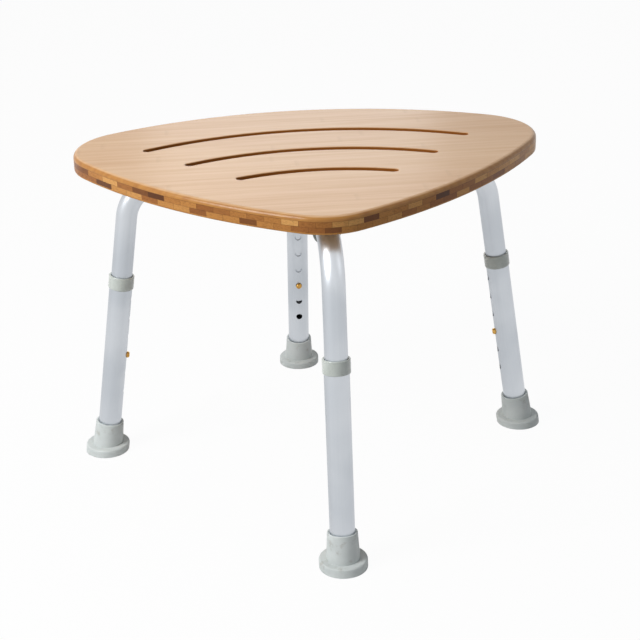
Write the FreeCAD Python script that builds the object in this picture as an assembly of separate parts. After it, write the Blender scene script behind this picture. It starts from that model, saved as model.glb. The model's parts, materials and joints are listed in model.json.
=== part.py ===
import FreeCAD, Part
import math
import os
from FreeCAD import Vector

# Corner shower stool: a bamboo board on four splayed telescopic legs.
# Millimetres. Origin on the floor, midway between the front and rear feet.
# +Z is up, -Y points to the board's narrow corner, +X to the right.

# Seat board
seat_height = 390.0
seat_width = 553.0
seat_length = 405.5
seat_thickness = 20.0
seat_back_radius = 477.3
seat_side_radius = 633.5
seat_front_corner = 67.5
seat_rear_corner = 82.0
seat_top_round = 5.5
seat_bottom_round = 1.5

# Drain slots, concentric with the board's back edge
slot_width = 11.0
slot_edge_distance = 92.0
slot_pitch = 77.5
slot_half_angles_deg = (29.3, 27.2, 21.8)
slot_edge_round = 1.2

# Stance of the four legs, from the board's edges to the middles of the feet
front_foot_overhang = 49.6
rear_foot_overhang = 76.5
side_foot_inset = 10.7
side_leg_setback = 145.3
leg_splay_deg = 8.5

# Telescopic tubes
lower_tube_od = 28.0
tube_wall = 1.2
slide_clearance = 0.1
bend_radius = 50.0
run_drop = 17.0

# Height adjustment, stations measured from the floor along the leg
hole_pitch = 25.0
hole_count = 6
holes_above_button_count = 3
button_station = 133.0
button_diameter = 7.8
button_hole_clearance = 0.3
button_proud = 3.4
button_dome = 2.2
rivet_diameter = 3.6
rivet_head = 0.7

# Spring strip that carries the button
strip_width = 8.0
strip_thickness = 0.8
strip_wall_gap = 0.9
strip_tail = 9.0
strip_flat = 7.0
strip_reach = 52.0
strip_fold_radius = 3.0

# Collar on top of each lower tube
collar_od = 30.9
collar_height = 16.5
collar_station = 230.6
collar_lip = 3.0
collar_top_round = 0.9
collar_bottom_round = 1.2
collar_flare = 1.1
press_clearance = 0.05

# Rubber foot with its steel washer
foot_base_od = 54.4
foot_base_height = 10.0
foot_base_round = 2.5
foot_neck_top_od = 34.0
foot_neck_bottom_od = 38.6
foot_top_station = 40.3
foot_top_round = 0.7
foot_flare = 1.3
tube_end_station = 12.3
washer_thickness = 1.5
washer_bore = 12.0
tread_groove_width = 2.4
tread_groove_depth = 1.4
tread_radius_shares = (0.42, 0.74)

# Moulded socket that holds each tube under the board
bracket_wall = 2.8
bracket_length = 52.0
bracket_end_wall = 3.0
bracket_flange_width = 50.0
bracket_flange_thickness = 5.0
bracket_corner_round = 6.0
bracket_mouth_round = 1.2
bracket_rib_thickness = 3.0
bracket_rib_share = 0.6
front_rear_reach = 106.0
side_reach = 142.0

# Screws
wood_screw_diameter = 3.5
wood_screw_bite = 12.0
wood_screw_point = 3.0
wood_screw_tip_share = 0.25
wood_screw_shares = (0.22, 0.78)
lock_screw_diameter = 4.0
lock_screw_bite = 4.5
lock_boss_drop = 1.2
lock_boss_diameter = 11.0
screw_head_diameter = 7.6
screw_head_height = 2.6
screw_head_chamfer = 1.0
screw_recess_length = 4.2
screw_recess_width = 1.0
screw_recess_depth = 1.3
screw_clearance = 0.15

overrun = 5.0
match_tolerance = 0.0001

# Values that follow from the driving dimensions
up = Vector(0, 0, 1)
down = Vector(0, 0, -1)
across = Vector(0, 1, 0)
outward = Vector(1, 0, 0)
inward = Vector(-1, 0, 0)
underside = seat_height - seat_thickness
front_rear_span = front_foot_overhang + seat_length + rear_foot_overhang
left_right_span = seat_width - 2 * side_foot_inset
seat_back_y = front_rear_span / 2 - rear_foot_overhang
side_leg_y = seat_back_y - side_leg_setback
seat_arc_centre = Vector(0, seat_back_y - seat_back_radius, 0)
splay = math.radians(leg_splay_deg)
leg_axis = Vector(-math.sin(splay), 0, math.cos(splay))
leg_inward = Vector(-math.cos(splay), 0, -math.sin(splay))
lower_outer = lower_tube_od / 2
lower_inner = lower_outer - tube_wall
upper_outer = lower_inner - slide_clearance
upper_inner = upper_outer - tube_wall
run_height = underside - run_drop
corner_station = run_height / math.cos(splay)
bend_tangent = bend_radius * math.tan((math.pi / 2 - splay) / 2)
bend_station = corner_station - bend_tangent
button_hole_radius = button_diameter / 2 + button_hole_clearance
hole_stations = [button_station + (holes_above_button_count - i) * hole_pitch for i in range(hole_count)]
inner_end_station = button_station - hole_pitch
collar_bottom = collar_station - collar_height / 2
collar_top = collar_station + collar_height / 2
lower_top = collar_top - collar_lip
bracket_half = upper_outer + bracket_wall
screw_side = (bracket_half + bracket_flange_width / 2) / 2
lock_seat = run_height - bracket_half - lock_boss_drop

# name: (azimuth of the outward direction, foot x, foot y, distance from foot to socket mouth)
legs = {
    "front": (-90, 0, -front_rear_span / 2, front_rear_reach),
    "rear": (90, 0, front_rear_span / 2, front_rear_reach),
    "left": (180, -left_right_span / 2, side_leg_y, side_reach),
    "right": (0, left_right_span / 2, side_leg_y, side_reach),
}


def lean(shape):
    """Tip a shape built around +Z onto the splayed leg axis."""
    shape = shape.copy()
    shape.rotate(Vector(), across, -leg_splay_deg)
    return shape


def place(shape, leg):
    """Move a shape from the leg's own frame to its place under the seat."""
    azimuth, x, y, _ = legs[leg]
    shape = shape.copy()
    shape.rotate(Vector(), up, azimuth)
    shape.translate(Vector(x, y, 0))
    return shape


def rod(radius, bottom, top):
    return Part.makeCylinder(radius, top - bottom, Vector(0, 0, bottom), up)


def ring(outer, inner, bottom, top):
    return rod(outer, bottom, top).cut(rod(inner, bottom - overrun, top + overrun))


def flare_cutter(radius, flare, top):
    """Cone that opens the mouth of a bore by the same amount outwards and downwards."""
    return Part.makeCone(radius, radius + flare, flare, Vector(0, 0, top - flare), up)


def rim_edges(shape, z, radius):
    """Full circles of one radius at one height."""
    found = []
    for edge in shape.Edges:
        curve = edge.Curve
        if not isinstance(curve, Part.Circle):
            continue
        if max(abs(curve.Radius - radius), abs(curve.Center.z - z)) < match_tolerance:
            found.append(edge)
    return found


def edges_at(shape, z):
    """Edges that lie wholly at one height."""
    low, high = z - match_tolerance, z + match_tolerance
    return [edge for edge in shape.Edges if low < edge.BoundBox.ZMin and edge.BoundBox.ZMax < high]


def circle_crossing(first, first_radius, second, second_radius, side):
    """One of the two points where circles in the XY plane cross, picked by side."""
    gap = second - first
    span = gap.Length
    along = (first_radius ** 2 - second_radius ** 2 + span ** 2) / (2 * span)
    height = math.sqrt(first_radius ** 2 - along ** 2)
    unit = gap / span
    return first + unit * along + Vector(-unit.y, unit.x, 0) * height * side


def on_circle(centre, radius, towards):
    return centre + (towards - centre).normalize() * radius


def mirrored(point):
    return Vector(-point.x, point.y, point.z)


def seat_outline():
    """Rounded triangle of tangent arcs: back, two rear corners, two sides and a front corner."""
    corner_x = seat_width / 2 - seat_rear_corner
    corner_reach = seat_back_radius - seat_rear_corner
    rear = seat_arc_centre + Vector(corner_x, math.sqrt(corner_reach ** 2 - corner_x ** 2), 0)
    front_tip = Vector(0, seat_back_y - seat_length, 0)
    front = front_tip + Vector(0, seat_front_corner, 0)
    front_reach = seat_side_radius - seat_front_corner
    rear_reach = seat_side_radius - seat_rear_corner
    side = circle_crossing(front, front_reach, rear, rear_reach, 1)
    back_end = rear + (rear - seat_arc_centre).normalize() * seat_rear_corner
    side_top = rear + (rear - side).normalize() * seat_rear_corner
    side_bottom = front + (front - side).normalize() * seat_front_corner
    corner_mid = rear + ((back_end + side_top) / 2 - rear).normalize() * seat_rear_corner
    side_mid = on_circle(side, seat_side_radius, (side_top + side_bottom) / 2)
    back_mid = Vector(0, seat_back_y, 0)
    return [
        Part.Arc(mirrored(back_end), back_mid, back_end).toShape(),
        Part.Arc(back_end, corner_mid, side_top).toShape(),
        Part.Arc(side_top, side_mid, side_bottom).toShape(),
        Part.Arc(side_bottom, front_tip, mirrored(side_bottom)).toShape(),
        Part.Arc(mirrored(side_bottom), mirrored(side_mid), mirrored(side_top)).toShape(),
        Part.Arc(mirrored(side_top), mirrored(corner_mid), mirrored(back_end)).toShape(),
    ]


def slot_cutter(radius, half_angle_deg):
    """Curved slot with round ends, cut right through the board."""
    half = slot_width / 2
    tip = math.radians(half_angle_deg)
    ray = Vector(math.sin(tip), math.cos(tip), 0)
    tangent = Vector(math.cos(tip), -math.sin(tip), 0)
    end = seat_arc_centre + ray * radius
    outer_end = end + ray * half
    inner_end = end - ray * half
    round_mid = end + tangent * half
    outer_mid = seat_arc_centre + Vector(0, radius + half, 0)
    inner_mid = seat_arc_centre + Vector(0, radius - half, 0)
    wire = Part.Wire([
        Part.Arc(mirrored(outer_end), outer_mid, outer_end).toShape(),
        Part.Arc(outer_end, round_mid, inner_end).toShape(),
        Part.Arc(inner_end, inner_mid, mirrored(inner_end)).toShape(),
        Part.Arc(mirrored(inner_end), mirrored(round_mid), mirrored(outer_end)).toShape(),
    ])
    wire.translate(Vector(0, 0, underside - overrun))
    return Part.Face(wire).extrude(up * (seat_thickness + 2 * overrun))


def bracket_screw_points(reach):
    """Screw places on one socket's flange, in the leg's own frame."""
    points = []
    for share in wood_screw_shares:
        for side in (-1, 1):
            points.append(Vector(-reach - share * bracket_length, side * screw_side, underside))
    return points


def make_seat():
    outline = Part.Wire(seat_outline())
    outline.translate(Vector(0, 0, underside))
    board = Part.Face(outline).extrude(up * seat_thickness)
    board = board.makeFillet(seat_top_round, edges_at(board, seat_height))
    board = board.makeFillet(seat_bottom_round, edges_at(board, underside))
    for index, angle in enumerate(slot_half_angles_deg):
        radius = seat_back_radius - slot_edge_distance - index * slot_pitch
        board = board.cut(slot_cutter(radius, angle))
    slot_rims = [e for e in edges_at(board, seat_height) if is_slot_edge(e)]
    board = board.makeFillet(slot_edge_round, slot_rims)
    pilot_depth = wood_screw_bite + screw_clearance
    pilot_radius = wood_screw_diameter / 2 + screw_clearance
    for leg, (_, _, _, reach) in legs.items():
        for point in bracket_screw_points(reach):
            pilot = Part.makeCylinder(pilot_radius, pilot_depth + overrun, point - up * overrun, up)
            board = board.cut(place(pilot, leg))
    return board


def is_slot_edge(edge):
    """True for the rim of a slot: its ends are tight arcs and its long sides are well inside the board."""
    radius = edge.Curve.Radius
    if abs(radius - slot_width / 2) < match_tolerance:
        return True
    centre = edge.Curve.Center
    same_centre = math.hypot(centre.x - seat_arc_centre.x, centre.y - seat_arc_centre.y) < match_tolerance
    return same_centre and radius < seat_back_radius - slot_edge_distance + slot_width


def tube_path(end_x):
    """Centre line of an upper tube: straight leg, bend, level run."""
    low = leg_axis * inner_end_station
    bend_start = leg_axis * bend_station
    corner = leg_axis * corner_station
    bend_end = corner + inward * bend_tangent
    bend_centre = bend_start + leg_inward * bend_radius
    bend_mid = on_circle(bend_centre, bend_radius, corner)
    finish = Vector(end_x, 0, run_height)
    return Part.Wire([
        Part.makeLine(low, bend_start),
        Part.Arc(bend_start, bend_mid, bend_end).toShape(),
        Part.makeLine(bend_end, finish),
    ])


def swept(path, radius):
    start = path.Vertexes[0].Point
    profile = Part.Wire(Part.makeCircle(radius, start, leg_axis))
    return path.makePipeShell([profile], True, False)


def button_hole(station):
    """Cutter for one hole, facing the middle of the seat."""
    start = Vector(0, 0, station)
    return Part.makeCylinder(button_hole_radius, lower_outer + overrun, start, inward)


def make_upper_tube(reach):
    path = tube_path(-reach - bracket_length + bracket_end_wall)
    tube = swept(path, upper_outer).cut(swept(path, upper_inner))
    tube = tube.cut(lean(button_hole(button_station)))
    lock_point = Vector(-reach - bracket_length / 2, 0, run_height)
    lock_hole = Part.makeCylinder(lock_screw_diameter / 2 + screw_clearance, upper_outer, lock_point, down)
    return tube.cut(lock_hole)


def make_lower_tube():
    tube = ring(lower_outer, lower_inner, tube_end_station, lower_top)
    for station in hole_stations:
        tube = tube.cut(button_hole(station))
    return lean(tube)


def make_collar():
    outer = rod(collar_od / 2, collar_bottom, collar_top)
    outer = outer.makeFillet(collar_top_round, rim_edges(outer, collar_top, collar_od / 2))
    outer = outer.makeFillet(collar_bottom_round, rim_edges(outer, collar_bottom, collar_od / 2))
    socket = rod(lower_outer + press_clearance, collar_bottom - overrun, lower_top)
    guide = rod(lower_inner, collar_bottom, collar_top + overrun)
    flare = flare_cutter(lower_inner, collar_flare, collar_top)
    return lean(outer.cut(socket).cut(guide).cut(flare))


def strip_plate(start, finish):
    """Flat stretch of the spring strip between two points of its centre line."""
    run = finish - start
    side = across.cross(run).normalize() * strip_thickness
    corner = start - side / 2 - across * (strip_width / 2)
    face = Part.Face(Part.makePolygon([corner, corner + side, corner + side + run, corner + run, corner]))
    return face.extrude(across * strip_width)


def strip_pin(point, radius):
    return Part.makeCylinder(radius, strip_width, point - across * (strip_width / 2), across)


def make_snap_clip():
    """Brass button riveted to a folded spring strip, two solids of one clip."""
    arm = upper_inner - strip_wall_gap - strip_thickness / 2
    fold_z = button_station + strip_reach
    half_fold = strip_fold_radius
    low_left = Vector(-arm, 0, button_station - strip_tail)
    bend_left = Vector(-arm, 0, button_station + strip_flat)
    fold_left = Vector(-half_fold, 0, fold_z)
    fold_centre = Vector(0, 0, fold_z)
    fold_right = Vector(half_fold, 0, fold_z)
    bend_right = Vector(arm, 0, button_station + strip_flat)
    low_right = Vector(arm, 0, button_station - strip_tail)
    half_t = strip_thickness / 2
    spine = [low_left, bend_left, fold_left, fold_right, bend_right, low_right]
    plates = [strip_plate(a, b) for a, b in zip(spine, spine[1:]) if b is not fold_right]
    knuckles = [strip_pin(point, half_t) for point in spine[1:-1]]
    fold = strip_pin(fold_centre, half_fold + half_t).cut(strip_pin(fold_centre, half_fold - half_t))
    fold_corner = fold_centre - Vector(2 * half_fold, strip_width / 2, 0)
    fold_top = Part.makeBox(4 * half_fold, strip_width, 2 * half_fold, fold_corner)
    strip = fold.common(fold_top).fuse(plates + knuckles).removeSplitter()
    rivet_radius = rivet_diameter / 2
    rivet_hole = Part.makeCylinder(rivet_radius, lower_outer, Vector(0, 0, button_station), inward)
    strip = strip.cut(rivet_hole)
    base = Vector(-arm - half_t, 0, button_station)
    reach = lower_outer + button_proud - arm - half_t
    button = Part.makeCylinder(button_diameter / 2, reach, base, inward)
    far_rim = [e for e in button.Edges if abs(e.BoundBox.XMax + lower_outer + button_proud) < match_tolerance]
    button = button.makeFillet(button_dome, far_rim)
    shank = Part.makeCylinder(rivet_radius, strip_thickness, base, outward)
    head = Part.makeCylinder(rivet_radius + rivet_head, rivet_head, base + outward * strip_thickness, outward)
    button = button.fuse([shank, head]).removeSplitter()
    return lean(Part.Compound([strip, button]))


def make_foot():
    """Rubber foot: a neck around the tube and an oblique base that lies flat on the floor."""
    sheared = leg_axis * (foot_base_height / leg_axis.z)
    circle = Part.Wire(Part.makeCircle(foot_base_od / 2, Vector(), up))
    base = Part.Face(circle).extrude(sheared)
    base = base.makeFillet(foot_base_round, edges_at(base, foot_base_height))
    neck_height = foot_top_station + foot_base_height
    neck_slope = (foot_neck_bottom_od - foot_neck_top_od) / 2 / foot_top_station
    low_radius = foot_neck_top_od / 2 + neck_slope * neck_height
    neck = Part.makeCone(low_radius, foot_neck_top_od / 2, neck_height, down * foot_base_height, up)
    neck = neck.makeFillet(foot_top_round, rim_edges(neck, foot_top_station, foot_neck_top_od / 2))
    above_corner = Vector(-foot_base_od, -foot_base_od, 0)
    above = Part.makeBox(2 * foot_base_od, 2 * foot_base_od, neck_height, above_corner)
    upper = lean(neck).common(above)
    foot = base.fuse(upper).removeSplitter()
    bore = rod(lower_outer + press_clearance, tube_end_station - washer_thickness, foot_top_station + overrun)
    flare = flare_cutter(lower_outer + press_clearance, foot_flare, foot_top_station)
    foot = foot.cut(lean(bore)).cut(lean(flare))
    for share in tread_radius_shares:
        middle = share * foot_base_od / 2
        half_groove = tread_groove_width / 2
        foot = foot.cut(ring(middle + half_groove, middle - half_groove, -overrun, tread_groove_depth))
    return foot


def make_foot_washer():
    radius = lower_outer - press_clearance
    return lean(ring(radius, washer_bore / 2, tube_end_station - washer_thickness, tube_end_station))


def make_bracket(reach):
    """Moulded socket: a U-shaped barrel under a screwed flange, closed at its inner end."""
    mouth = -reach
    finish = -reach - bracket_length
    flange = Part.makeBox(
        bracket_length, bracket_flange_width, bracket_flange_thickness,
        Vector(finish, -bracket_flange_width / 2, underside - bracket_flange_thickness))
    uprights = [e for e in flange.Edges if e.BoundBox.ZLength > bracket_flange_thickness / 2]
    flange = flange.makeFillet(bracket_corner_round, uprights)
    barrel = Part.makeCylinder(bracket_half, bracket_length, Vector(finish, 0, run_height), outward)
    web = Part.makeBox(bracket_length, 2 * bracket_half, run_drop, Vector(finish, -bracket_half, run_height))
    body = flange.fuse([barrel, web])
    rib_width = bracket_flange_width * bracket_rib_share
    rib_x = finish + bracket_length / 2 - bracket_rib_thickness / 2
    rib_points = [
        Vector(rib_x, -bracket_flange_width / 2, underside - bracket_flange_thickness),
        Vector(rib_x, bracket_flange_width / 2, underside - bracket_flange_thickness),
        Vector(rib_x, rib_width / 2, run_height),
        Vector(rib_x, -rib_width / 2, run_height),
    ]
    rib = Part.Face(Part.makePolygon(rib_points + rib_points[:1])).extrude(outward * bracket_rib_thickness)
    lock_x = finish + bracket_length / 2
    boss = Part.makeCylinder(lock_boss_diameter / 2, bracket_half, Vector(lock_x, 0, lock_seat), up)
    body = body.fuse([rib, boss])
    bore_start = Vector(finish + bracket_end_wall, 0, run_height)
    bore = Part.makeCylinder(upper_outer + press_clearance, bracket_length + overrun, bore_start, outward)
    body = body.cut(bore)
    mouth_cone = Part.makeCone(
        upper_outer + press_clearance, upper_outer + press_clearance + bracket_mouth_round,
        bracket_mouth_round, Vector(mouth - bracket_mouth_round, 0, run_height), outward)
    body = body.cut(mouth_cone)
    lock_start = Vector(lock_x, 0, lock_seat - overrun)
    lock_radius = lock_screw_diameter / 2 + screw_clearance
    lock_hole = Part.makeCylinder(lock_radius, bracket_half + overrun, lock_start, up)
    body = body.cut(lock_hole)
    for point in bracket_screw_points(reach):
        hole = Part.makeCylinder(
            wood_screw_diameter / 2 + screw_clearance, bracket_flange_thickness + 2 * overrun,
            point - up * (bracket_flange_thickness + overrun), up)
        body = body.cut(hole)
    return body.removeSplitter()


def make_screw(diameter, shank_length, point_length):
    """Pan-head screw pointing up, its head's seat at z = 0."""
    head = rod(screw_head_diameter / 2, -screw_head_height, 0)
    head = head.makeChamfer(screw_head_chamfer, rim_edges(head, -screw_head_height, screw_head_diameter / 2))
    shank = rod(diameter / 2, -screw_head_height / 2, shank_length - point_length)
    screw = head.fuse(shank)
    if point_length > 0:
        tip_radius = wood_screw_tip_share * diameter / 2
        tip_start = Vector(0, 0, shank_length - point_length)
        tip = Part.makeCone(diameter / 2, tip_radius, point_length, tip_start, up)
        screw = screw.fuse(tip)
    bar = Part.makeBox(
        screw_recess_length, screw_recess_width, screw_recess_depth + overrun,
        Vector(-screw_recess_length / 2, -screw_recess_width / 2, -screw_head_height - overrun))
    crossed = bar.copy()
    crossed.rotate(Vector(), up, 90)
    return screw.cut(bar).cut(crossed).removeSplitter()


def make_bracket_screws():
    screw = make_screw(wood_screw_diameter, bracket_flange_thickness + wood_screw_bite, wood_screw_point)
    group = []
    for leg, (_, _, _, reach) in legs.items():
        for point in bracket_screw_points(reach):
            one = screw.copy()
            one.translate(point - up * bracket_flange_thickness)
            group.append(place(one, leg))
    return Part.Compound(group)


def make_lock_screws():
    length = lock_boss_drop + bracket_half - upper_outer + tube_wall + lock_screw_bite
    screw = make_screw(lock_screw_diameter, length, 0)
    group = []
    for leg, (_, _, _, reach) in legs.items():
        one = screw.copy()
        one.translate(Vector(-reach - bracket_length / 2, 0, lock_seat))
        group.append(place(one, leg))
    return Part.Compound(group)


def export(shape, node):
    if not shape.isValid():
        raise ValueError(node + " is not a valid shape")
    shape.exportStep("parts/" + node + ".step")
    print(node, len(shape.Solids), "solid(s)", round(shape.Volume), "mm3")


os.makedirs("parts", exist_ok=True)
export(make_seat(), "seat_board")
export(make_bracket_screws(), "bracket_screws")
export(make_lock_screws(), "tube_lock_screws")
lower_tube = make_lower_tube()
collar = make_collar()
snap_clip = make_snap_clip()
foot = make_foot()
foot_washer = make_foot_washer()
for leg_name, (_, _, _, leg_reach) in legs.items():
    export(place(make_bracket(leg_reach), leg_name), "leg_bracket_" + leg_name)
    export(place(make_upper_tube(leg_reach), leg_name), "upper_tube_" + leg_name)
    export(place(lower_tube, leg_name), "lower_tube_" + leg_name)
    export(place(collar, leg_name), "collar_" + leg_name)
    export(place(snap_clip, leg_name), "snap_clip_" + leg_name)
    export(place(foot, leg_name), "foot_" + leg_name)
    export(place(foot_washer, leg_name), "foot_washer_" + leg_name)
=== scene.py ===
import bmesh
import bpy
import json
import math
from mathutils import Matrix, Vector

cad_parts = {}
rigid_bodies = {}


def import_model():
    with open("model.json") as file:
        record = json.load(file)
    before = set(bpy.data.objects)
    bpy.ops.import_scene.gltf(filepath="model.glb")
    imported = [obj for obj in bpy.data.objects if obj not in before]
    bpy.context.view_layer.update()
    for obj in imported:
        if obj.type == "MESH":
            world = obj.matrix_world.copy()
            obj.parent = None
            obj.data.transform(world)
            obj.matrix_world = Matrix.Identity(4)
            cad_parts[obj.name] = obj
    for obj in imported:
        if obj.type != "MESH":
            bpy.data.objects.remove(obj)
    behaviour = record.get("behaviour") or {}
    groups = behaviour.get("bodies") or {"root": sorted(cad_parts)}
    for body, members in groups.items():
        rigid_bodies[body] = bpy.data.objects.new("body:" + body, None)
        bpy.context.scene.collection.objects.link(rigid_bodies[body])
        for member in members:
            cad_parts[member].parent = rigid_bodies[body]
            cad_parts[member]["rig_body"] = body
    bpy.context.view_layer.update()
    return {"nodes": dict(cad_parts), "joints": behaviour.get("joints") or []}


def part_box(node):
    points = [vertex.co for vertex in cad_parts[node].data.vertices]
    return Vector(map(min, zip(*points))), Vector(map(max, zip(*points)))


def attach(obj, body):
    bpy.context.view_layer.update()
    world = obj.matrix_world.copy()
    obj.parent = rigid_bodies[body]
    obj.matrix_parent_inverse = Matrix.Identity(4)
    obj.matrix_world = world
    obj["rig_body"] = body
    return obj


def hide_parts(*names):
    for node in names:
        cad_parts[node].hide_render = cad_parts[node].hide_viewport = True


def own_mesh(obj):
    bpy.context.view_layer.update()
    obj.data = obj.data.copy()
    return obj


for stray in list(bpy.data.objects):
    bpy.data.objects.remove(stray)

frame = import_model()
joints = {joint["name"]: joint for joint in frame["joints"]}
legNames = ("front", "rear", "left", "right")
print("frame loaded:", len(frame["nodes"]), "nodes")


# shader helpers

class Wire:
    # a socket that does maths: an expression on wires adds its Math nodes
    def __init__(self, finish, socket):
        self.finish = finish
        self.socket = socket

    def calc(self, operation, first, second=None):
        values = {0: first} if second is None else {0: first, 1: second}
        return self.finish.add("ShaderNodeMath", {"operation": operation}, values)

    def __add__(self, other): return self.calc("ADD", self, other)
    def __sub__(self, other): return self.calc("SUBTRACT", self, other)
    def __rsub__(self, other): return self.calc("SUBTRACT", other, self)
    def __mul__(self, other): return self.calc("MULTIPLY", self, other)
    def __truediv__(self, other): return self.calc("DIVIDE", self, other)
    def __gt__(self, other): return self.calc("GREATER_THAN", self, other)
    def __lt__(self, other): return self.calc("LESS_THAN", self, other)
    def __mod__(self, other): return self.calc("FLOORED_MODULO", self, other)
    def floor(self): return self.calc("FLOOR", self)
    def size(self): return self.calc("ABSOLUTE", self)
    def root(self): return self.calc("SQRT", self)
    def clamp(self): return self.finish.add("ShaderNodeClamp", {}, {"Value": self})


class Finish:
    # a material and the nodes that feed its Principled shader
    def __init__(self, name, **constants):
        self.material = bpy.data.materials.new(name)
        self.material.use_nodes = True
        self.tree = self.material.node_tree
        self.shader = self.tree.nodes["Principled BSDF"]
        for socket, value in constants.items():
            self.shader.inputs[socket.replace("_", " ")].default_value = value

    def add(self, kind, settings, sockets, out=0):
        node = self.tree.nodes.new(kind)
        for key, value in settings.items():
            if key == "stops":
                ramp = node.color_ramp
                while len(ramp.elements) < len(value):
                    ramp.elements.new(0.5)
                for element, (place, colour) in zip(ramp.elements, value):
                    element.position = place
                    element.color = (*colour, 1)
            else:
                setattr(node, key, value)
        for key, value in sockets.items():
            self.feed(node.inputs[key], value)
        return Wire(self, node.outputs[out])

    def feed(self, socket, value):
        if isinstance(value, Wire):
            self.tree.links.new(value.socket, socket)
        else:
            socket.default_value = (*value, 1) if socket.type == "RGBA" else value

    def paint(self, socket, wire):
        self.feed(self.shader.inputs[socket], wire)

    def place(self):
        return self.add("ShaderNodeTexCoord", {}, {}, "Object")

    def axes(self, vector):
        split = self.add("ShaderNodeSeparateXYZ", {}, {"Vector": vector})
        return [Wire(self, s) for s in split.socket.node.outputs]

    def stretched(self, vector, scale, turn=(0, 0, 0)):
        return self.add("ShaderNodeMapping", {"vector_type": "POINT"},
                        {"Vector": vector, "Rotation": turn, "Scale": scale})

    def noise(self, vector, scale, detail=3.0, rough=0.55):
        return self.add("ShaderNodeTexNoise", {"noise_dimensions": "3D"},
                        {"Vector": vector, "Scale": scale, "Detail": detail, "Roughness": rough}, "Fac")

    def between(self, value, low, high, outLow=0.0, outHigh=1.0):
        return self.add("ShaderNodeMapRange", {"interpolation_type": "SMOOTHSTEP"},
                        {"Value": value, "From Min": low, "From Max": high,
                         "To Min": outLow, "To Max": outHigh})

    def mix(self, factor, first, second):
        return self.add("ShaderNodeMix", {"data_type": "RGBA"}, {0: factor, 6: first, 7: second}, 2)

    def bump(self, height, strength, distance):
        relief = {"Height": height, "Strength": strength, "Distance": distance}
        self.paint("Normal", self.add("ShaderNodeBump", {}, relief))


def srgb(red, green, blue):
    def linear(c):
        c = c / 255
        return c / 12.92 if c < 0.04045 else ((c + 0.055) / 1.055) ** 2.4
    return linear(red), linear(green), linear(blue)


def meshPiece(name, bm, finish, place=Matrix.Identity(4)):
    bm.transform(place)
    mesh = bpy.data.meshes.new(name)
    bm.to_mesh(mesh)
    bm.free()
    mesh.materials.append(finish.material)
    piece = bpy.data.objects.new(name, mesh)
    bpy.context.scene.collection.objects.link(piece)
    return piece


sharpAngle = math.radians(30)


def skin(node, finish, flatFirst=False):
    # the CAD mesh with its loose triangles joined, so that curved faces shade smoothly
    bm = bmesh.new()
    bm.from_mesh(frame["nodes"][node].data)
    bmesh.ops.remove_doubles(bm, verts=bm.verts, dist=1e-6)
    for face in bm.faces:
        face.smooth = True
    for edge in bm.edges:
        edge.smooth = len(edge.link_faces) == 2 and edge.calc_face_angle() < sharpAngle
    piece = meshPiece(node + "_skin", bm, finish)
    if flatFirst:
        piece.modifiers.new("flats", "WEIGHTED_NORMAL").keep_sharp = True  # flats stay flat by rounds
    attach(piece, frame["nodes"][node]["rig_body"])
    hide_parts(node)


# seat board: bamboo plies and core strips, painted through the thickness

board = {
    "topPly": 0.0056, "coreRow": 0.0061, "stripWidth": 0.0172, "veneerWidth": 0.021,
    "veneerPale": srgb(218, 178, 134), "veneerWarm": srgb(202, 156, 110), "grainDark": srgb(140, 92, 54),
    "stripPale": srgb(208, 154, 88), "stripWarm": srgb(180, 122, 60), "stripMid": srgb(146, 90, 42),
    "stripDark": srgb(74, 40, 18), "stripShift": 0.43, "knuckleSpacing": 0.31, "faceSkin": 0.0002,
    # the slot wall colour is a darker brown painted on the drain slots' walls as painted shade
    "plyEdge": srgb(180, 126, 62), "slotWallShade": srgb(150, 90, 36), "glueLine": 0.0004,
    "slotCentre": 0.288, "slotRadius": 0.3853, "slotPitch": 0.0775, "slotHalf": 0.0062, "slotSpread": 0.52,
    "slotNearest": 0.2,
}


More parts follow.
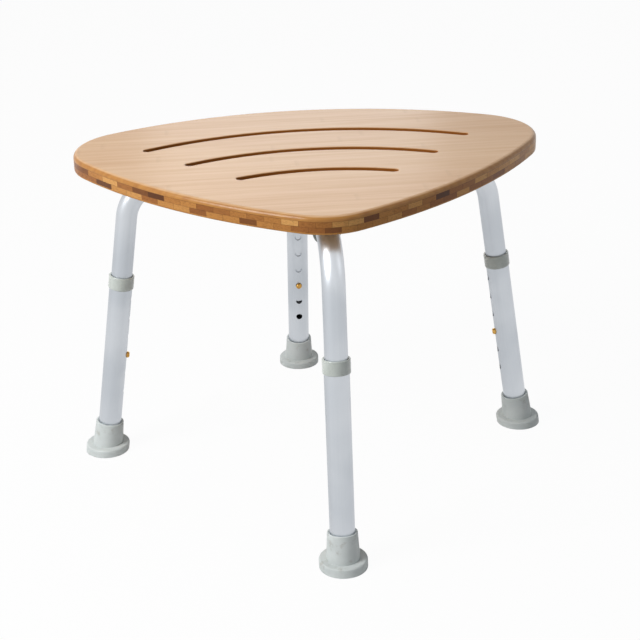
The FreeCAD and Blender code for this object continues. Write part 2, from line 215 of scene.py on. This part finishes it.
def bambooFinish():
    low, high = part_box("seat_board")
    finish = Finish("bamboo", Specular_IOR_Level=0.2, Coat_Roughness=0.2)
    spot = finish.place()
    x, y, z = finish.axes(spot)
    depth = high[2] - z  # metres below the top face
    fibre = finish.noise(finish.stretched(spot, (5, 150, 150)), 1.0, 5.0, 0.6)  # streaks along X
    pores = finish.noise(finish.stretched(spot, (26, 1100, 700)), 1.0, 2.0, 0.5)
    cloud = finish.noise(finish.stretched(spot, (4, 11, 11)), 1.0, 2.0, 0.5)

    strip = (y / board["veneerWidth"]).floor()  # veneer strips lie side by side in Y
    stripTone = finish.add("ShaderNodeTexWhiteNoise", {"noise_dimensions": "1D"}, {"W": strip}, "Value")
    knuckle = (x + stripTone * board["knuckleSpacing"]) % board["knuckleSpacing"]  # along each strip
    knuckleMark = finish.between(knuckle, 0.0, 0.003) - finish.between(knuckle, 0.003, 0.009)
    seam = (y % board["veneerWidth"]) < board["glueLine"]
    tone = finish.between(fibre, 0.3, 0.72) * 0.62 + stripTone * 0.2 + finish.between(cloud, 0.3, 0.7) * 0.28
    veneer = finish.mix(tone.clamp(), board["veneerPale"], board["veneerWarm"])
    veneer = finish.mix(finish.between(pores, 0.6, 0.78) * 0.22, veneer, board["grainDark"])
    veneer = finish.mix(knuckleMark * 0.09 + seam * 0.08, veneer, board["grainDark"])

    row = ((depth - board["topPly"]) / board["coreRow"]).floor()
    along = x / board["stripWidth"] + row * board["stripShift"]
    brick = along.floor()
    brickSpot = finish.add("ShaderNodeCombineXYZ", {}, {"X": brick, "Y": row})
    brickTone = finish.add("ShaderNodeTexWhiteNoise", {"noise_dimensions": "2D"},
                           {"Vector": brickSpot}, "Value")
    core = finish.add("ShaderNodeValToRGB", {"stops": (
        (0.0, board["stripDark"]), (0.25, board["stripMid"]),
        (0.6, board["stripWarm"]), (1.0, board["stripPale"]))},
        {"Fac": brickTone})
    coreFibre = finish.noise(finish.stretched(spot, (420, 30, 900)), 1.0, 3.0, 0.6)
    core = finish.mix(finish.between(coreFibre, 0.42, 0.75) * 0.38, core, board["stripDark"])
    rowEdge = ((depth - board["topPly"]) % board["coreRow"]) < board["glueLine"]
    brickEdge = (along % 1.0) < board["glueLine"] / board["stripWidth"]
    core = finish.mix((rowEdge + brickEdge).clamp() * 0.55, core, board["stripDark"])

    edgePly = finish.mix(finish.between(fibre, 0.3, 0.75) * 0.6, board["plyEdge"], board["stripMid"])
    inPly = (depth < board["topPly"]) + (depth > board["topPly"] + board["coreRow"] * 2)
    sides = finish.between(depth, 0.0004, 0.0016)  # the round-over shows the ply's deeper tone
    plyFace = finish.mix(sides, veneer, edgePly)
    bottom = high[2] - low[2] - board["faceSkin"]
    plyFace = finish.mix(depth > bottom, plyFace, veneer)
    wood = finish.mix(inPly.clamp(), core, plyFace)

    fromCentre = y + board["slotCentre"]
    reach = (x * x + fromCentre * fromCentre).root()  # the drain slots are arcs round one centre
    halfPitch = board["slotPitch"] / 2
    band = (reach - board["slotRadius"] + halfPitch) % board["slotPitch"] - halfPitch
    inArc = (band.size() < board["slotHalf"]) * (x.size() / reach < board["slotSpread"])
    # painted shade: the walls inside the drain slots take a flat darker brown in place of the plies and
    # strips
    slotShadeMask = inArc * (reach > board["slotNearest"]) * finish.between(depth, 0.0003, 0.0012)
    wood = finish.mix(slotShadeMask * (depth < bottom), wood, board["slotWallShade"])
    finish.paint("Base Color", wood)
    finish.paint("Roughness", finish.between(fibre, 0.25, 0.75, 0.32, 0.38))
    finish.paint("Coat Weight", finish.between(depth, 0.0045, 0.0065, 0.2, 0.0))  # varnish on the top ply
    finish.bump(fibre * 0.5 + pores * 0.5, 0.06, 0.0003)
    return finish


skin("seat_board", bambooFinish(), flatFirst=True)
print("seat board dressed")


# tubes: satin anodised aluminium with faint drawing lines along the leg

tube = {"colour": srgb(204, 208, 213), "shade": srgb(190, 195, 201), "roughness": (0.36, 0.42)}


def legAxis(leg):
    return -Vector(joints["leg_slide_" + leg]["axis"])  # up the leg


def tubeFinish(leg):
    finish = Finish("aluminium_" + leg, Metallic=1.0)
    turn = legAxis(leg).rotation_difference(Vector((0, 0, 1))).to_euler()
    spot = finish.stretched(finish.place(), (1, 1, 1), tuple(turn))
    lines = finish.noise(finish.stretched(spot, (2600, 2600, 6)), 1.0, 2.0, 0.5)
    haze = finish.noise(spot, 14.0, 2.0, 0.5)
    tone = finish.between(haze * 0.8 + lines * 0.2, 0.35, 0.7)
    finish.paint("Base Color", finish.mix(tone, tube["colour"], tube["shade"]))
    finish.paint("Roughness", finish.between(lines * 0.3 + haze * 0.7, 0.3, 0.7, *tube["roughness"]))
    finish.bump(lines, 0.008, 0.0001)
    return finish


for leg in legNames:
    aluminium = tubeFinish(leg)
    skin("upper_tube_" + leg, aluminium)
    skin("lower_tube_" + leg, aluminium)
print("tubes dressed")


# collars and sockets: grey-green moulded plastic; the sockets under the seat get a darker copy of it,
# painted shade

moulded = {"collar": srgb(188, 194, 188), "collarShade": srgb(178, 184, 177), "socket": srgb(122, 128, 120)}


def mouldedFinish(name, colour, shade, roughness):
    finish = Finish(name, Coat_Weight=0.5, Coat_Roughness=0.05)
    spot = finish.place()
    cloud = finish.noise(spot, 60.0, 3.0, 0.5)
    grain = finish.noise(spot, 900.0, 2.0, 0.5)
    finish.paint("Base Color", finish.mix(finish.between(cloud, 0.3, 0.7), colour, shade))
    finish.paint("Roughness", finish.between(cloud, 0.3, 0.7, roughness, roughness + 0.1))
    finish.bump(grain, 0.02, 0.0001)
    return finish


collarPlastic = mouldedFinish("collar_plastic", moulded["collar"], moulded["collarShade"], 0.22)
# painted shade: the sockets are the collars' plastic made darker for their place under the seat
shadedSocketPlastic = mouldedFinish("socket_plastic_painted_shade", moulded["socket"], moulded["collarShade"], 0.4)
for leg in legNames:
    skin("collar_" + leg, collarPlastic)
    skin("leg_bracket_" + leg, shadedSocketPlastic)


# feet: matt rubber, a little soiled

rubber = {"pale": srgb(210, 215, 213), "shade": srgb(196, 202, 200), "soil": srgb(140, 130, 112)}


def rubberFinish():
    finish = Finish("foot_rubber", Roughness=0.6, Specular_IOR_Level=0.4)
    spot = finish.place()
    cloud = finish.noise(spot, 30.0, 3.0, 0.5)
    smudge = finish.noise(spot, 75.0, 6.0, 0.68)
    scuff = finish.noise(finish.stretched(spot, (120, 120, 420)), 1.0, 4.0, 0.6)
    grain = finish.noise(spot, 1500.0, 2.0, 0.5)
    colour = finish.mix(finish.between(cloud, 0.3, 0.7), rubber["pale"], rubber["shade"])
    soiled = finish.between(smudge, 0.56, 0.72) * 0.34 + finish.between(scuff, 0.62, 0.75) * 0.2
    finish.paint("Base Color", finish.mix(soiled.clamp(), colour, rubber["soil"]))
    finish.paint("Roughness", finish.between(smudge, 0.4, 0.7, 0.52, 0.74))
    finish.bump(grain * 0.5 + smudge * 0.5, 0.16, 0.0004)
    return finish


footRubber = rubberFinish()
for leg in legNames:
    skin("foot_" + leg, footRubber)
print("collars, sockets and feet dressed")


# screws and washers: zinc-plated steel

def platedFinish(name, colour, shade, roughness):
    finish = Finish(name, Metallic=1.0)
    spot = finish.place()
    cloud = finish.noise(spot, 260.0, 3.0, 0.6)
    finish.paint("Base Color", finish.mix(finish.between(cloud, 0.3, 0.7), colour, shade))
    finish.paint("Roughness", finish.between(cloud, 0.3, 0.7, roughness, roughness + 0.14))
    finish.bump(cloud, 0.04, 0.0002)
    return finish


zinc = platedFinish("zinc_steel", srgb(198, 200, 202), srgb(168, 170, 174), 0.28)
spring = platedFinish("spring_steel", srgb(150, 152, 156), srgb(112, 114, 120), 0.3)
brass = platedFinish("button_brass", srgb(214, 172, 96), srgb(176, 128, 62), 0.18)
for node in ["bracket_screws", "tube_lock_screws"] + ["foot_washer_" + leg for leg in legNames]:
    skin(node, zinc)
print("screws and washers dressed")


# snap clips: a brass button that travels and a spring strip behind it, which does not flex here

clip = {
    "rise": 0.12145, "buttonRadius": 0.0039, "dome": 0.0022, "tubeRadius": 0.014, "proud": 0.0034,
    "arm": 0.0102, "tail": 0.009, "flat": 0.007, "reach": 0.052, "fold": 0.003,
    "width": 0.008, "thickness": 0.0008, "travel": 0.005, "rivetHead": 0.0025, "rivetShank": 0.0018,
}


def legMatrix(leg):
    # Z up the leg, X across it away from the seat's middle, origin in the foot's washer
    low, high = (Vector(corner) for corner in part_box("foot_washer_" + leg))
    up = legAxis(leg)
    away = Vector(joints["button_press_" + leg]["axis"])
    turn = Matrix((away, up.cross(away), up)).transposed().to_4x4()
    return Matrix.Translation((low + high) / 2) @ turn


def makeButton(leg):
    inner = clip["arm"] + clip["thickness"] / 2
    length = clip["tubeRadius"] + clip["proud"] - inner
    bm = bmesh.new()
    bmesh.ops.create_cone(bm, cap_ends=True, segments=64, radius1=clip["buttonRadius"],
                          radius2=clip["buttonRadius"], depth=length)
    crown = [e for e in bm.edges if all(v.co.z > 0 for v in e.verts)]
    bmesh.ops.bevel(bm, geom=crown, offset=clip["dome"], segments=10, profile=0.5,
                    affect="EDGES", material=-1)
    bmesh.ops.translate(bm, verts=bm.verts, vec=(0, 0, inner + length / 2))
    rivet = bmesh.ops.create_cone(bm, cap_ends=True, segments=32, radius1=clip["rivetHead"] * 0.8,
                                  radius2=clip["rivetHead"], depth=clip["thickness"])
    bmesh.ops.translate(bm, verts=rivet["verts"], vec=(0, 0, inner - clip["thickness"] * 1.5))
    shank = bmesh.ops.create_cone(bm, cap_ends=True, segments=32, radius1=clip["rivetShank"],
                                  radius2=clip["rivetShank"], depth=clip["thickness"])
    bmesh.ops.translate(bm, verts=shank["verts"], vec=(0, 0, inner - clip["thickness"] / 2))
    inward = Matrix.Rotation(-math.pi / 2, 3, "Y")  # the button points at the seat's middle
    bmesh.ops.rotate(bm, verts=bm.verts, cent=(0, 0, 0), matrix=inward)
    bmesh.ops.translate(bm, verts=bm.verts, vec=(0, 0, clip["rise"]))
    for face in bm.faces:
        face.smooth = len(face.verts) == 4
    return meshPiece("snap_button_" + leg, bm, brass, legMatrix(leg))


def makeStrip(leg):
    arm, fold, rise, half = clip["arm"], clip["fold"], clip["rise"], clip["width"] / 2
    top = rise + clip["reach"]
    bm = bmesh.new()
    start = bm.edges.new([bm.verts.new((-fold, -half, top)), bm.verts.new((-fold, half, top))])
    turned = bmesh.ops.spin(bm, geom=[start] + list(start.verts), cent=(0, 0, top), axis=(0, 1, 0),
                            angle=math.pi, steps=12)
    finish = [g for g in turned["geom_last"] if isinstance(g, bmesh.types.BMEdge)][0]
    for side, edge in ((-1, start), (1, finish)):
        for height in (rise + clip["flat"], rise - clip["tail"]):  # down the slant, then along the wall
            grown = bmesh.ops.extrude_edge_only(bm, edges=[edge])["geom"]
            ends = [g for g in grown if isinstance(g, bmesh.types.BMVert)]
            for vert in ends:
                vert.co.x, vert.co.z = side * arm, height
            edge = [e for e in bm.edges if set(e.verts) == set(ends)][0]
    bmesh.ops.recalc_face_normals(bm, faces=bm.faces)
    bmesh.ops.solidify(bm, geom=bm.faces, thickness=clip["thickness"])
    bmesh.ops.recalc_face_normals(bm, faces=bm.faces)
    return meshPiece("snap_strip_" + leg, bm, spring, legMatrix(leg))


for leg in legNames:
    button, strip = makeButton(leg), makeStrip(leg)
    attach(button, "button_" + leg)
    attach(strip, "stool_frame")
    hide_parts("snap_clip_" + leg)
    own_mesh(strip)
print("snap clips made")


# floor, lights and camera

studio = {
    "floorSize": 6.0, "floorColour": srgb(222, 222, 222), "floorLift": 0.96,
    "worldTint": srgb(214, 219, 226), "worldStrength": 0.28,
}


def floorFinish():
    finish = Finish("floor", Roughness=0.9, Base_Color=(*studio["floorColour"], 1))
    rays = finish.add("ShaderNodeLightPath", {}, {})
    outputs = rays.socket.node.outputs
    seen = Wire(finish, outputs["Is Camera Ray"]) + Wire(finish, outputs["Is Glossy Ray"])
    seen = seen + Wire(finish, outputs["Is Transmission Ray"])
    glow = finish.add("ShaderNodeEmission", {}, {"Color": (1, 1, 1), "Strength": 1.0})
    lit = Wire(finish, finish.shader.outputs[0])
    both = finish.add("ShaderNodeMixShader", {}, {0: seen.clamp() * studio["floorLift"], 1: lit, 2: glow})
    finish.feed(finish.tree.nodes["Material Output"].inputs["Surface"], both)
    return finish


bm = bmesh.new()
bmesh.ops.create_grid(bm, x_segments=1, y_segments=1, size=studio["floorSize"] / 2)
meshPiece("floor", bm, floorFinish())

world = bpy.data.worlds.new("studio")
bpy.context.scene.world = world
world.use_nodes = True
tree = world.node_tree
rays = tree.nodes.new("ShaderNodeLightPath")
white = tree.nodes.new("ShaderNodeBackground")
white.inputs["Color"].default_value = (1, 1, 1, 1)
room = tree.nodes["Background"]
room.inputs["Color"].default_value = (*studio["worldTint"], 1)
room.inputs["Strength"].default_value = studio["worldStrength"]
pick = tree.nodes.new("ShaderNodeMixShader")
seen = rays.outputs["Is Camera Ray"]
for kind in ("Is Glossy Ray", "Is Transmission Ray"):  # metal shows the white background too
    joined = tree.nodes.new("ShaderNodeMath")
    joined.use_clamp = True
    tree.links.new(seen, joined.inputs[0])
    tree.links.new(rays.outputs[kind], joined.inputs[1])
    seen = joined.outputs[0]
tree.links.new(seen, pick.inputs[0])
tree.links.new(room.outputs[0], pick.inputs[1])
tree.links.new(white.outputs[0], pick.inputs[2])
tree.links.new(pick.outputs[0], tree.nodes["World Output"].inputs["Surface"])


def softbox(name, spot, aim, size, power):
    lamp = bpy.data.lights.new(name, "AREA")
    lamp.shape = "RECTANGLE"
    lamp.size, lamp.size_y = size
    lamp.energy = power
    holder = bpy.data.objects.new(name, lamp)
    holder.location = spot
    holder.rotation_euler = (Vector(aim) - Vector(spot)).to_track_quat("-Z", "Y").to_euler()
    bpy.context.scene.collection.objects.link(holder)


softbox("key", (-1.35, -0.65, 1.35), (-0.1, 0, 0.37), (0.8, 0.8), 30)  # leaves the right edge in shade
softbox("fill", (0.3, -2.6, 1.1), (0, 0, 0.25), (1.6, 1.2), 1)
softbox("sheen", (0.13, 1.95, 1.0), (0, 0, 0.39), (0.72, 0.6), 2.0)  # mirrored in the seat's top
softbox("right", (1.9, -0.6, 1.3), (0, 0, 0.3), (1.0, 1.2), 2)
softbox("top", (0.2, 0.3, 2.4), (0, 0, 0.3), (1.4, 1.4), 5)


view = {
    "spot": (-0.1544, -1.6760, 0.9226), "yaw": -0.0855, "pitch": -0.4181, "roll": -0.0278,
    "focalPixels": 1513.6, "middle": (306.6, 323.9), "frame": 640, "sensor": 36.0,
}
camera = bpy.data.cameras.new("photo_view")
camera.sensor_width = view["sensor"]
camera.lens = view["focalPixels"] * view["sensor"] / view["frame"]
camera.shift_x = (view["frame"] / 2 - view["middle"][0]) / view["frame"]
camera.shift_y = (view["middle"][1] - view["frame"] / 2) / view["frame"]
tripod = bpy.data.objects.new("photo_view", camera)
turn = Matrix.Rotation(view["yaw"], 4, "Z") @ Matrix.Rotation(math.pi / 2 + view["pitch"], 4, "X")
tripod.matrix_world = Matrix.Translation(view["spot"]) @ turn @ Matrix.Rotation(view["roll"], 4, "Z")
bpy.context.scene.collection.objects.link(tripod)
bpy.context.scene.camera = tripod
bpy.context.scene.view_settings.view_transform = "Standard"
print("studio set")
